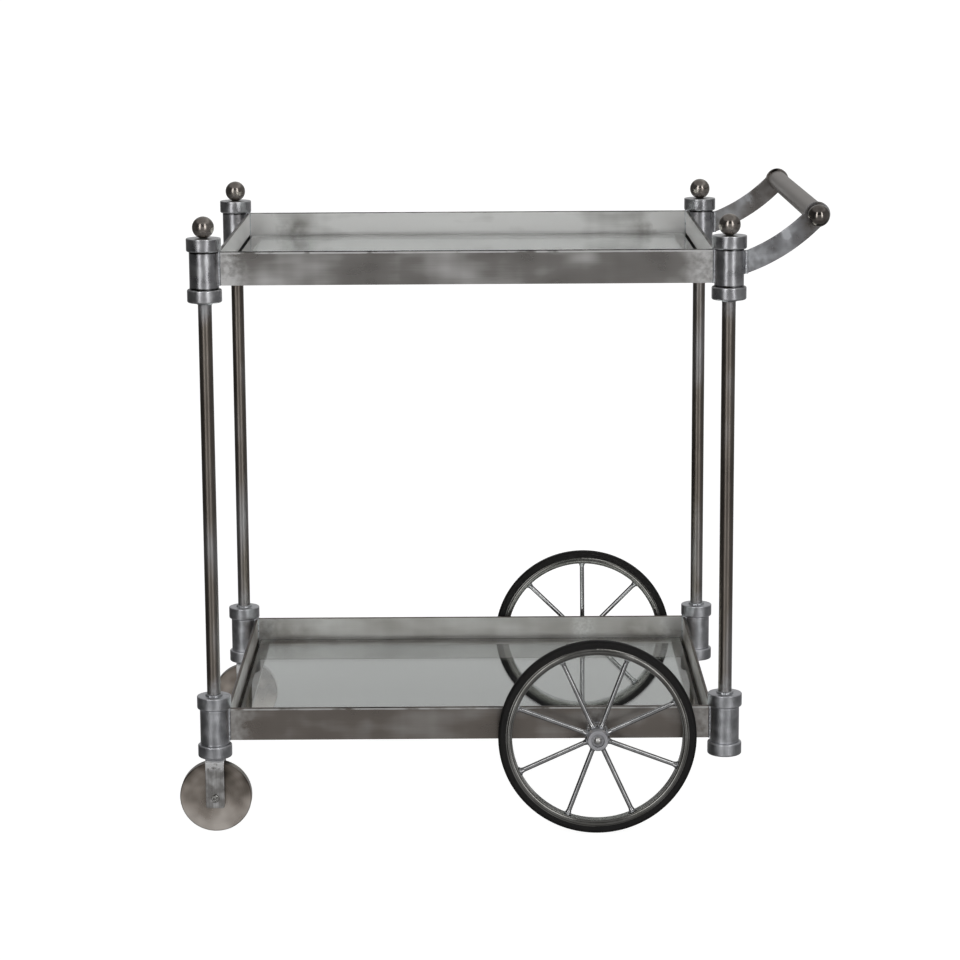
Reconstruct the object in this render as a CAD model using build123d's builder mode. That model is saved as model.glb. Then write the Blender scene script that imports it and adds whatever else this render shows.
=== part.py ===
from build123d import *
import os
from math import cos, radians, sin

# Bar cart: two glass trays on four posts, two spoked wheels, two disc casters and a push handle.
# Millimetres, +Z up. The origin is on the floor, under the middle of the whole cart.
# +X is the handle end, -Y is the front, so left is the caster end and right is the handle end.

# Posts and the cast sleeves that hold them
post_spacing_x = 680
post_spacing_y = 514
post_radius = 9
post_wall = 1.5
sleeve_radius = 19.2
collar_radius = 22.7
collar_height = 17.3
sleeve_height = 83.5
collar_top_rounding = 1.3
collar_foot_rounding = 2.4
collar_shoulder = 2.2
groove_height = 1.2
groove_depth = 1
lower_sleeve_z = 102.3
tray_rise = 610
socket_floor = 12
stud_radius = 4

# Tray rails, an angle section, and the glass that lies in them
rail_height = 44
rail_leg = 22
rail_wall = 4
rail_lift = 21.5
rail_root = 1.5
rail_edge = 0.8
rail_inset = 16.7
glass_thickness = 8
glass_end_gap = 3.2
glass_side_gap = 1.5
glass_bevel = 1

# Balls on the posts and on the handle
ball_radius = 14.3
ball_seat = 13.6
stud_length = 12

# Handle: two curved flat bars and a round grip
handle_reach = 113
handle_rise = 67.8
handle_sag = 9.5
handle_root_z = 41.7
arm_width = 28
arm_thickness = 5
arm_edge = 0.8
eye_radius = 16.5
eye_root = 3
grip_radius = 13.25
grip_wall = 2
plug_length = 20
handle_stud_length = 15

# Spoked wheels on stub axles
wheel_radius = 131.8
wheel_x = 169.6
tyre_height = 9.6
tyre_width = 14
tyre_rounding = 5
rim_width = 15.5
rim_depth = 9
rim_floor = 3
rim_flange = 2.5
rim_edge = 1
hub_radius = 14
hub_length = 40
hub_bevel = 1
hub_recess_radius = 9
hub_recess_depth = 4
spoke_count = 8
spoke_radius = 3.25
spoke_root_radius = 4.8
spoke_root_length = 6
front_spoke_angle = 24.5
back_spoke_angle = 0.5
axle_radius = 6
axle_spigot_radius = 4
axle_boss_radius = 13
axle_boss_thickness = 2
axle_screw_radius = 3
axle_screw_length = 15
dome_radius = 6
dome_height = 3.5
dome_arc = 60
washer_radius = 8.5
washer_thickness = 2

# Disc casters in strap forks
caster_radius = 47.8
caster_width = 16
caster_bevel = 1.2
strap_width = 25
strap_thickness = 4
strap_bend = 6.5
strap_corner = 3
strap_edge = 0.6
strap_end_drop = 13.5
fork_gap = 12.5
stem_radius = 6
stem_length = 35
rivet_radius = 4
rivet_head_radius = 4.9
rivet_head_height = 1
caster_axle_radius = 3
spacer_radius = 7
spacer_thickness = 4.3
screw_recess_radius = 6.3
screw_recess_depth = 1.4
screw_head_radius = 5.2
screw_head_height = 2.6
screw_slot_length = 7
screw_slot_width = 1.6
screw_slot_depth = 1.3
nut_radius = 5.77
nut_height = 5
nut_sides = 6

# Clearances between pieces that move on each other
running_fit = 0.06
side_play = 0.5

# Places worked out from the sizes above
half_x = post_spacing_x / 2
half_y = post_spacing_y / 2
left_reach = half_x + caster_radius
right_reach = half_x + handle_reach + eye_radius
tray_x = (left_reach - right_reach) / 2
upper_sleeve_z = lower_sleeve_z + tray_rise
frame_half_x = half_x - rail_inset
axle_x = tray_x + wheel_x
wheel_offset = axle_boss_thickness + side_play + hub_length / 2
rim_outer = wheel_radius - tyre_height
rim_inner = rim_outer - rim_depth
strap_top = lower_sleeve_z - side_play
corners = {
    "front_left": (-1, -1),
    "front_right": (1, -1),
    "back_left": (-1, 1),
    "back_right": (1, 1),
}
sides = {"front": -1, "back": 1}
levels = {"lower": lower_sleeve_z, "upper": upper_sleeve_z}

os.makedirs("parts", exist_ok=True)


def save(piece, name):
    """Labels a finished piece and writes it to its own file."""
    piece.part.label = name
    export_step(piece.part, f"parts/{name}.step")


def post_place(corner, z=0):
    """Point on a post's axis at height z."""
    along, across = corners[corner]
    return Vector(tray_x + along * half_x, across * half_y, z)


def upright_plane(place):
    """Plane with its x along +X and its y up, facing the front."""
    return Plane(origin=place, x_dir=(1, 0, 0), z_dir=(0, -1, 0))


def outward_plane(place, side):
    """Plane whose normal points out of the cart at the front or at the back, with its y up."""
    return Plane(origin=place, x_dir=(-side, 0, 0), z_dir=(0, side, 0))


def make_sleeve(corner, level):
    """Cast sleeve with a grooved collar at each end, and the sockets that its place needs."""
    base = post_place(corner, levels[level])
    top = base + Vector(0, 0, sleeve_height)
    with BuildPart() as sleeve:
        with BuildSketch(upright_plane(base)):
            with Locations((collar_radius / 2, collar_height / 2)):
                Rectangle(collar_radius, collar_height)
            with Locations((collar_radius / 2, sleeve_height - collar_height / 2)):
                Rectangle(collar_radius, collar_height)
            with Locations((sleeve_radius / 2, sleeve_height / 2)):
                Rectangle(sleeve_radius, sleeve_height)
            with Locations((sleeve_radius, collar_height)):
                Rectangle(groove_depth, groove_height, align=(Align.MAX, Align.MIN), mode=Mode.SUBTRACT)
            with Locations((sleeve_radius, sleeve_height - collar_height)):
                Rectangle(groove_depth, groove_height, align=(Align.MAX, Align.MAX), mode=Mode.SUBTRACT)
        revolve(axis=Axis(base, (0, 0, 1)))
        rims = sleeve.edges().filter_by(GeomType.CIRCLE).group_by(SortBy.RADIUS)[-1].sort_by(Axis.Z)
        fillet(rims[1:3], collar_shoulder)
        rims = sleeve.edges().filter_by(GeomType.CIRCLE).group_by(SortBy.RADIUS)[-1].sort_by(Axis.Z)
        fillet(rims[0], collar_foot_rounding)
        rims = sleeve.edges().filter_by(GeomType.CIRCLE).group_by(SortBy.RADIUS)[-1].sort_by(Axis.Z)
        fillet(rims[-1], collar_top_rounding)
        if level == "upper":
            with Locations(Plane(base, z_dir=(0, 0, -1))):
                Hole(radius=post_radius, depth=sleeve_height - socket_floor)
            with Locations(top):
                Hole(radius=stud_radius, depth=socket_floor)
        else:
            with Locations(top):
                Hole(radius=post_radius, depth=sleeve_height - socket_floor - stem_length)
        if level == "lower" and corner.endswith("left"):
            with Locations(Plane(base, z_dir=(0, 0, -1))):
                Hole(radius=stem_radius + running_fit, depth=stem_length)
    save(sleeve, f"{level}_sleeve_{corner}")


def make_post(corner):
    """Round tube from the lower socket to the upper one."""
    foot = lower_sleeve_z + socket_floor + stem_length
    head = upper_sleeve_z + sleeve_height - socket_floor
    with BuildPart(Plane(post_place(corner, foot))) as post:
        Cylinder(post_radius, head - foot, align=(Align.CENTER, Align.CENTER, Align.MIN))
        Hole(radius=post_radius - post_wall)
    save(post, f"post_{corner}")


def make_finial(corner):
    """Ball on a stud, flattened a little where it sits on the sleeve."""
    seat = post_place(corner, upper_sleeve_z + sleeve_height)
    with BuildPart(Plane(seat)) as finial:
        with Locations((0, 0, ball_seat)):
            Sphere(ball_radius)
        split(bisect_by=Plane(seat), keep=Keep.TOP)
        Cylinder(stud_radius, stud_length, align=(Align.CENTER, Align.CENTER, Align.MAX))
    save(finial, f"finial_{corner}")


def make_rail(level, side, along, inward, half_length, reach):
    """Angle rail with mitred ends, hollowed where it is welded to the sleeves."""
    middle = Vector(tray_x, 0, levels[level] + rail_lift) - inward * reach
    start = middle - along * half_length
    end = middle + along * half_length
    with BuildPart() as rail:
        with BuildSketch(Plane(origin=start, x_dir=inward, z_dir=along)) as section:
            Rectangle(rail_wall, rail_height, align=Align.MIN)
            Rectangle(rail_leg, rail_wall, align=Align.MIN)
            root = section.vertices().sort_by_distance(Vector(rail_wall, rail_wall))[0]
            fillet(root, rail_root)
            fillet(section.vertices().group_by(Axis.Y)[-1], rail_edge)
        extrude(amount=2 * half_length)
        split(bisect_by=Plane(start, z_dir=along - inward), keep=Keep.TOP)
        split(bisect_by=Plane(end, z_dir=-along - inward), keep=Keep.TOP)
        with Locations(*[post_place(corner, levels[level]) for corner in corners]):
            Cylinder(
                sleeve_radius,
                sleeve_height,
                align=(Align.CENTER, Align.CENTER, Align.MIN),
                mode=Mode.SUBTRACT,
            )
        if level == "lower" and side in sides:
            with Locations(outward_plane((axle_x, sides[side] * half_y, wheel_radius), sides[side])):
                Hole(radius=axle_spigot_radius, depth=rail_wall)
    save(rail, f"{level}_rail_{side}")


def make_glass(level):
    """Glass panel with eased edges, lying on the rails' ledges."""
    size_x = 2 * (frame_half_x - rail_wall - glass_end_gap)
    size_y = 2 * (half_y - rail_wall - glass_side_gap)
    ledge = levels[level] + rail_lift + rail_wall
    with BuildPart(Plane((tray_x, 0, ledge))) as glass:
        Box(size_x, size_y, glass_thickness, align=(Align.CENTER, Align.CENTER, Align.MIN))
        chamfer(glass.edges(), glass_bevel)
    save(glass, f"{level}_glass")


def handle_place(side):
    """Point on the grip's axis, in the middle of one arm's thickness."""
    post = post_place(f"{side}_right", upper_sleeve_z + handle_root_z)
    return post + Vector(handle_reach, 0, handle_rise)


def make_arm(side):
    """Flat bar that curves up from a sleeve to a round eye at the grip."""
    root = post_place(f"{side}_right", upper_sleeve_z + handle_root_z)
    chord = Vector(handle_reach, handle_rise)
    sag = Vector(handle_rise, -handle_reach).normalized() * handle_sag
    with BuildPart() as arm:
        with BuildSketch(upright_plane(root)) as outline:
            with BuildLine():
                spine = ThreePointArc((0, 0), chord / 2 + sag, chord)
            trace(spine, line_width=arm_width)
            with Locations(chord):
                Circle(eye_radius)
            fillet(outline.vertices().sort_by(Axis.X)[2:4], eye_root)
        extrude(amount=arm_thickness / 2, both=True)
        fillet(arm.edges() - arm.edges().filter_by(Axis.Y), arm_edge)
        with Locations(outward_plane(handle_place(side), 1)):
            Hole(radius=stud_radius)
        with Locations(post_place(f"{side}_right", upper_sleeve_z)):
            Cylinder(
                sleeve_radius,
                sleeve_height,
                align=(Align.CENTER, Align.CENTER, Align.MIN),
                mode=Mode.SUBTRACT,
            )
    save(arm, f"handle_arm_{side}")


def make_handle_ball(side):
    """Ball outside an arm's eye, on a stud that goes through the eye into the grip's plug."""
    across = sides[side]
    seat = outward_plane(handle_place(side) + Vector(0, across * arm_thickness / 2, 0), across)
    with BuildPart(seat) as ball:
        with Locations((0, 0, ball_seat)):
            Sphere(ball_radius)
        split(bisect_by=seat, keep=Keep.TOP)
        Cylinder(
            stud_radius,
            arm_thickness + handle_stud_length,
            align=(Align.CENTER, Align.CENTER, Align.MAX),
        )
    save(ball, f"handle_ball_{side}")


def make_grip():
    """Round tube between the arms, and the two plugs in its ends that take the balls' studs."""
    middle = Vector(handle_place("front").X, 0, handle_place("front").Z)
    length = post_spacing_y - arm_thickness
    with BuildPart(outward_plane(middle, 1)) as grip:
        Cylinder(grip_radius, length)
        Cylinder(grip_radius - grip_wall, length, mode=Mode.SUBTRACT)
    save(grip, "handle_grip")
    with BuildPart() as plugs:
        for across in sides.values():
            with Locations(outward_plane(middle + Vector(0, across * length / 2, 0), across)):
                Cylinder(
                    grip_radius - grip_wall,
                    plug_length,
                    align=(Align.CENTER, Align.CENTER, Align.MAX),
                )
                Hole(radius=stud_radius, depth=handle_stud_length)
    save(plugs, "handle_plugs")


def wheel_axis_plane(side, distance=0):
    """Plane square to a big wheel's axle, at a distance outside the rail's outer face."""
    across = sides[side]
    return outward_plane((axle_x, across * (half_y + distance), wheel_radius), across)


def make_wheel(side, first_spoke):
    """Big wheel: hub, welded round spokes, channel rim and rubber tyre, one piece each."""
    middle = wheel_axis_plane(side, wheel_offset)
    section = Plane(origin=middle.origin, x_dir=(1, 0, 0), z_dir=(0, 0, 1))
    axle = Axis(middle.origin, middle.z_dir)
    with BuildPart(middle) as hub:
        Cylinder(hub_radius, hub_length)
        chamfer(hub.edges().filter_by(GeomType.CIRCLE), hub_bevel)
        with Locations((0, 0, hub_length / 2)):
            CounterBoreHole(axle_radius + running_fit, hub_recess_radius, hub_recess_depth, hub_length)
    save(hub, f"{side}_wheel_hub")

    with BuildPart() as spokes:
        for step in range(spoke_count):
            turn = radians(first_spoke + step * 360 / spoke_count)
            outwards = Vector(cos(turn), 0, sin(turn))
            with BuildSketch(Plane(origin=middle.origin, x_dir=outwards, z_dir=middle.z_dir)):
                with BuildLine():
                    Polyline(
                        (hub_radius / 2, 0),
                        (hub_radius / 2, spoke_root_radius),
                        (hub_radius, spoke_root_radius),
                        (hub_radius + spoke_root_length, spoke_radius),
                        (rim_inner - spoke_root_length, spoke_radius),
                        (rim_inner, spoke_root_radius),
                        (rim_outer, spoke_root_radius),
                        (rim_outer, 0),
                        close=True,
                    )
                make_face()
            revolve(axis=Axis(middle.origin, outwards))
        with BuildSketch(middle):
            Circle(rim_inner)
            Circle(hub_radius, mode=Mode.SUBTRACT)
        extrude(amount=rim_width, both=True, mode=Mode.INTERSECT)
    save(spokes, f"{side}_wheel_spokes")

    with BuildPart() as rim:
        with BuildSketch(section) as rim_section:
            with Locations(((rim_inner + rim_outer) / 2, 0)):
                Rectangle(rim_depth, rim_width)
            with Locations((rim_outer, 0)):
                Rectangle(2 * (rim_depth - rim_floor), rim_width - 2 * rim_flange, mode=Mode.SUBTRACT)
            fillet(rim_section.vertices().group_by(Axis.X)[0], rim_edge)
            lips = rim_section.vertices().group_by(Axis.X)[-1].sort_by(Axis.Y)
            fillet((lips[0], lips[-1]), rim_edge)
        revolve(axis=axle)
    save(rim, f"{side}_wheel_rim")

    with BuildPart() as tyre:
        with BuildSketch(section) as tyre_section:
            with Locations((rim_outer, 0)):
                Rectangle(tyre_height, tyre_width, align=(Align.MIN, Align.CENTER))
            fillet(tyre_section.vertices().group_by(Axis.X)[-1], tyre_rounding)
            with Locations((rim_outer, 0)):
                Rectangle(
                    rim_depth - rim_floor,
                    rim_width - 2 * rim_flange,
                    align=(Align.MAX, Align.CENTER),
                )
        revolve(axis=axle)
    save(tyre, f"{side}_wheel_tyre")


def make_axle(side):
    """Stub axle welded to the lower rail, with the washer and dome screw that keep the wheel on."""
    shaft_end = wheel_offset + hub_length / 2 - hub_recess_depth + side_play
    with BuildPart(wheel_axis_plane(side)) as axle:
        Cylinder(axle_spigot_radius, rail_wall, align=(Align.CENTER, Align.CENTER, Align.MAX))
        Cylinder(axle_boss_radius, axle_boss_thickness, align=(Align.CENTER, Align.CENTER, Align.MIN))
        Cylinder(axle_radius, shaft_end, align=(Align.CENTER, Align.CENTER, Align.MIN))
        with Locations((0, 0, shaft_end)):
            Hole(radius=axle_screw_radius, depth=axle_screw_length)
    save(axle, f"{side}_stub_axle")

    with BuildPart(wheel_axis_plane(side, shaft_end)) as washer:
        Cylinder(washer_radius, washer_thickness, align=(Align.CENTER, Align.CENTER, Align.MIN))
        Hole(radius=axle_screw_radius)
    save(washer, f"{side}_axle_washer")

    dome_plane = wheel_axis_plane(side, shaft_end + washer_thickness)
    with BuildPart(dome_plane) as screw:
        Cylinder(
            axle_screw_radius,
            washer_thickness + axle_screw_length,
            align=(Align.CENTER, Align.CENTER, Align.MAX),
        )
        with BuildSketch(Plane(dome_plane.origin, x_dir=(1, 0, 0), z_dir=(0, 0, sides[side]))):
            with BuildLine():
                cap = JernArc((0, dome_height), (1, 0), dome_radius, -dome_arc)
                Polyline(cap @ 1, ((cap @ 1).X, 0), (0, 0), (0, dome_height))
            make_face()
        revolve(axis=Axis(dome_plane.origin, dome_plane.z_dir))
    save(screw, f"{side}_axle_screw")


def make_caster(side):
    """Disc caster: strap fork on a riveted stem, and the disc on its screw between two spacers."""
    across = sides[side]
    top = post_place(f"{side}_left", strap_top)
    centre = post_place(f"{side}_left", caster_radius)
    axis_plane = outward_plane(centre, across)
    outer = fork_gap + strap_thickness
    screw_seat = outer - screw_recess_depth
    leg_end = caster_radius - strap_end_drop
    bridge = strap_top - strap_thickness
    with BuildPart() as fork:
        with BuildSketch(Plane(origin=(top.X, top.Y, 0), x_dir=(0, 1, 0), z_dir=(1, 0, 0))):
            with Locations((0, leg_end)):
                Rectangle(2 * outer, strap_top - leg_end, align=(Align.CENTER, Align.MIN))
            with Locations((0, leg_end)):
                Rectangle(
                    2 * fork_gap,
                    bridge - leg_end,
                    align=(Align.CENTER, Align.MIN),
                    mode=Mode.SUBTRACT,
                )
        extrude(amount=strap_width / 2, both=True)
        inner_bends = fork.edges().filter_by(Axis.X).sort_by_distance(Vector(top.X, top.Y, bridge))[:2]
        fillet(inner_bends, strap_bend - strap_thickness)
        fillet(fork.edges().filter_by(Axis.X).group_by(Axis.Z)[-1], strap_bend)
        fillet(fork.edges().filter_by(Axis.Y).group_by(Axis.Z)[0], strap_corner)
        legs = fork.faces().sort_by(Axis.Y)
        leg_edges = legs[0].edges().sort_by(Axis.Z)[:-1] + legs[-1].edges().sort_by(Axis.Z)[:-1]
        fillet(leg_edges, strap_edge)
        with Locations(top):
            Hole(radius=rivet_radius, depth=strap_thickness)
        with Locations(axis_plane.offset(outer)):
            CounterBoreHole(caster_axle_radius, screw_recess_radius, screw_recess_depth)
    save(fork, f"{side}_caster_fork")

    with BuildPart(Plane(top)) as stem:
        Cylinder(stem_radius, stem_length, align=(Align.CENTER, Align.CENTER, Align.MIN))
        Cylinder(rivet_radius, strap_thickness, align=(Align.CENTER, Align.CENTER, Align.MAX))
        with Locations((0, 0, -strap_thickness)):
            Cylinder(rivet_head_radius, rivet_head_height, align=(Align.CENTER, Align.CENTER, Align.MAX))
    save(stem, f"{side}_caster_stem")

    with BuildPart(axis_plane) as disc:
        Cylinder(caster_radius, caster_width)
        chamfer(disc.edges().filter_by(GeomType.CIRCLE), caster_bevel)
        Hole(radius=caster_axle_radius + running_fit)
    save(disc, f"{side}_caster_disc")

    with BuildPart(axis_plane) as spacers:
        for end in (-1, 1):
            with Locations((0, 0, end * (fork_gap - spacer_thickness / 2))):
                Cylinder(spacer_radius, spacer_thickness)
        Hole(radius=caster_axle_radius)
    save(spacers, f"{side}_caster_spacers")

    with BuildPart(axis_plane) as screw:
        with Locations((0, 0, screw_seat)):
            Cylinder(screw_head_radius, screw_head_height, align=(Align.CENTER, Align.CENTER, Align.MIN))
            head_rims = screw.edges().filter_by(GeomType.CIRCLE).sort_by_distance(centre)
            fillet(head_rims[-1], screw_head_height / 2)
            Cylinder(
                caster_axle_radius,
                screw_seat + outer + nut_height,
                align=(Align.CENTER, Align.CENTER, Align.MAX),
            )
        with Locations((0, 0, screw_seat + screw_head_height)):
            Box(
                screw_slot_length,
                screw_slot_width,
                2 * screw_slot_depth,
                mode=Mode.SUBTRACT,
            )
            Box(
                screw_slot_width,
                screw_slot_length,
                2 * screw_slot_depth,
                mode=Mode.SUBTRACT,
            )
    save(screw, f"{side}_caster_screw")

    with BuildPart() as nut:
        with BuildSketch(axis_plane.offset(-outer)):
            RegularPolygon(nut_radius, nut_sides)
            Circle(caster_axle_radius, mode=Mode.SUBTRACT)
        extrude(amount=-nut_height)
    save(nut, f"{side}_caster_nut")


# Build every piece
for corner in corners:
    make_post(corner)
    make_finial(corner)
    for level in levels:
        make_sleeve(corner, level)

for level in levels:
    make_rail(level, "front", Vector(1, 0, 0), Vector(0, 1, 0), frame_half_x, half_y)
    make_rail(level, "back", Vector(-1, 0, 0), Vector(0, -1, 0), frame_half_x, half_y)
    make_rail(level, "left", Vector(0, -1, 0), Vector(1, 0, 0), half_y, frame_half_x)
    make_rail(level, "right", Vector(0, 1, 0), Vector(-1, 0, 0), half_y, frame_half_x)
    make_glass(level)

make_grip()
for side, first_spoke in {"front": front_spoke_angle, "back": back_spoke_angle}.items():
    make_arm(side)
    make_handle_ball(side)
    make_axle(side)
    make_wheel(side, first_spoke)
    make_caster(side)
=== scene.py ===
"""Looks of the bar cart: metal finishes, glass, welds, rolled lips, floor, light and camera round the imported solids."""

import logging
from dataclasses import dataclass, field, replace
from enum import Enum, StrEnum
from functools import partial
from math import cos, pi, radians, sin, sqrt
from typing import Any, Callable, Iterable

import bpy
from mathutils import Matrix, Vector


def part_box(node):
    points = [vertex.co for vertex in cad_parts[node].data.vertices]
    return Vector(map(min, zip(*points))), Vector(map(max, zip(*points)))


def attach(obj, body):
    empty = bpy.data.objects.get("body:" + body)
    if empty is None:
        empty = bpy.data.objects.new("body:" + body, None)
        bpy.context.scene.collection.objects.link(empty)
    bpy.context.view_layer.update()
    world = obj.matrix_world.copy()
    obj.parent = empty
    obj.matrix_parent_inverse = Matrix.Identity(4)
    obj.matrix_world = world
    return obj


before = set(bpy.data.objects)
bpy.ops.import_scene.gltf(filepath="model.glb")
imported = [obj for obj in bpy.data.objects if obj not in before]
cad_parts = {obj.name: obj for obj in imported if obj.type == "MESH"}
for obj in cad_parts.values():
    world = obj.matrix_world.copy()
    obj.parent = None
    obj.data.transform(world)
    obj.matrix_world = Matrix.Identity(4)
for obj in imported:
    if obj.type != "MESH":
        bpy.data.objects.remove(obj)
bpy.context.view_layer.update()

MM = 0.001
ZERO = Vector((0, 0, 0))
ACROSS = Vector((0, 1, 0))
UP = Vector((0, 0, 1))
IMAGE_SIDE = 960
CLOSED_GAP = 1e-7
LINE_STRETCH = 40.0  # length of a rubbed line over its width
TONE_SPREAD = 0.28  # half the range of tone that runs from dark to light
DARK_STOP = 0.2  # share of the colour ramp between soot and dark
SOOT = "#23211f"  # darkest tone, of burnt places and of painted shade
WHITE = "#ffffff"
NOISE_LOW, NOISE_HIGH = 0.3, 0.7  # most values of a noise texture lie between these
LUMPS_PER_METRE = 220.0  # a weld's lumps are about 4.5 mm long
POINTS_PER_RIPPLE = 4
PROFILE_POINTS = 16

Socket = bpy.types.NodeSocket
Material = bpy.types.Material
Add = Callable[..., Socket]
Points = list[Vector]
log = logging.getLogger("bar_cart")


class Level(StrEnum):
    """Tray that a piece belongs to."""

    UPPER = "upper"
    LOWER = "lower"


class Face(StrEnum):
    """Long side of the cart, of which the front one faces the camera."""

    FRONT = "front"
    BACK = "back"


class Corner(Enum):
    """Corner of the cart, by its way along and across it."""

    FRONT_LEFT = (-1, -1)
    FRONT_RIGHT = (1, -1)
    BACK_LEFT = (-1, 1)
    BACK_RIGHT = (1, 1)

    def node(self, piece: str) -> str:
        """Name of the CAD node that a piece has at this corner."""
        return f"{piece}_{self.name.lower()}"


class Way(Enum):
    """Direction that the fine lines of a metal run in."""

    ALONG_X = 0
    ALONG_Y = 1
    ALONG_Z = 2
    ROUND_AXLE = 3


class Side(Enum):
    """Side of the studio that a panel stands on, seen from the camera."""

    LEFT = -1
    BOTH = 0
    RIGHT = 1


RAILS = {Way.ALONG_X: ("front", "back"), Way.ALONG_Y: ("left", "right")}


def linear(colour: str) -> tuple[float, float, float, float]:
    """Turns a colour from sRGB to linear light.

    Args:
        colour: Six hexadecimal digits after a hash sign.

    Returns:
        Red, green, blue and an alpha of one.
    """
    shares = [int(colour[i : i + 2], 16) / 255 for i in (1, 3, 5)]
    red, green, blue = (s / 12.92 if s <= 0.04045 else ((s + 0.055) / 1.055) ** 2.4 for s in shares)
    return red, green, blue, 1.0


def add_node(
    tree: bpy.types.NodeTree, kind: str, inputs: dict[str | int, Any] | None = None, out: str | int = 0, **settings: Any
) -> Socket | None:
    """Adds a node, sets its options and fills its inputs.

    Args:
        tree: Tree that takes the node.
        kind: Type of the node.
        inputs: Value or linked output for each input, by its name or number.
        out: Name or number of the output that is wanted.
        settings: Options of the node itself.

    Returns:
        The output, or None where the node has no outputs.
    """
    node = tree.nodes.new(kind)
    for name, value in settings.items():
        setattr(node, name, value)
    for key, value in (inputs or {}).items():
        if isinstance(value, Socket):
            tree.links.new(value, node.inputs[key])
        else:
            node.inputs[key].default_value = value
    return node.outputs[out] if node.outputs else None


def empty_tree(owner: Material | bpy.types.World) -> Add:
    """Gives a material or a world an empty node tree.

    Args:
        owner: The material or the world.

    Returns:
        The function that adds a node to the tree.
    """
    owner.use_nodes = True
    owner.node_tree.nodes.clear()
    return partial(add_node, owner.node_tree)


def axle_distance(add: Add, place: Socket, axle: Vector) -> Socket:
    """Works out how far places are from an axle that runs across the cart.

    Args:
        add: Adds a node to the finish.
        place: Object coordinates.
        axle: Point on the axle.

    Returns:
        The distance in metres.
    """
    moved = add("ShaderNodeVectorMath", {0: place, 1: axle}, operation="SUBTRACT")
    flat = add("ShaderNodeVectorMath", {0: moved, 1: (1, 0, 1)}, operation="MULTIPLY")
    return add("ShaderNodeVectorMath", {0: flat}, out="Value", operation="LENGTH")


def finish_nodes(nodes: Iterable[str], material: Material) -> None:
    """Gives CAD nodes a finish.

    Args:
        nodes: Names of the nodes.
        material: Their new finish.
    """
    for name in nodes:
        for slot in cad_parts[name].material_slots:
            slot.material = material
        log.info("dressed %s in %s", name, material.name)


@dataclass(frozen=True)
class Patch:
    """Part of a surface with another tone, such as metal ground bright beside a weld.

    It is an ellipsoid, endless along an axis whose half size is zero, and is folded about the middle, so that it
    serves both ends and both sides, unless it is a single one.
    """

    middle: Vector
    offset: Vector
    half_mm: tuple[float, float, float]
    lift: float
    core: float = 0.4
    turn_deg: float = 0.0
    dulling: float = 0.0
    grain_mm: float = 9.0
    broken: float = 0.0
    folded: bool = True

    def mask(self, add: Add, place: Socket) -> Socket:
        """Makes the patch's mask.

        Args:
            add: Adds a node to the finish.
            place: Object coordinates.

        Returns:
            One inside the patch and zero outside it, broken up by its grain.
        """
        apart = add("ShaderNodeVectorMath", {0: place, 1: self.middle}, operation="SUBTRACT")
        if self.folded:
            apart = add("ShaderNodeVectorMath", {0: apart}, operation="ABSOLUTE")
        inside = {"Vector": apart, "Location": self.offset, "Rotation": (0, radians(self.turn_deg), 0)}
        inside["Scale"] = [half * MM for half in self.half_mm]
        unit = add("ShaderNodeMapping", inside, vector_type="TEXTURE")
        distance = add("ShaderNodeVectorMath", {0: unit}, out="Value", operation="LENGTH")
        fade = {"Value": distance, "From Min": 1.0, "From Max": self.core}
        mask = add("ShaderNodeMapRange", fade, interpolation_type="SMOOTHSTEP")
        if not self.broken:
            return mask
        grain = add("ShaderNodeTexNoise", {"Vector": place, "Scale": 1 / (self.grain_mm * MM), "Detail": 3.0})
        swing = {"Value": grain, "From Min": NOISE_LOW, "From Max": NOISE_HIGH}
        swing |= {"To Min": 1 - self.broken, "To Max": 1 + self.broken}
        uneven = add("ShaderNodeMapRange", swing, clamp=False)
        return add("ShaderNodeMath", {0: mask, 1: uneven}, operation="MULTIPLY")


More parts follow.
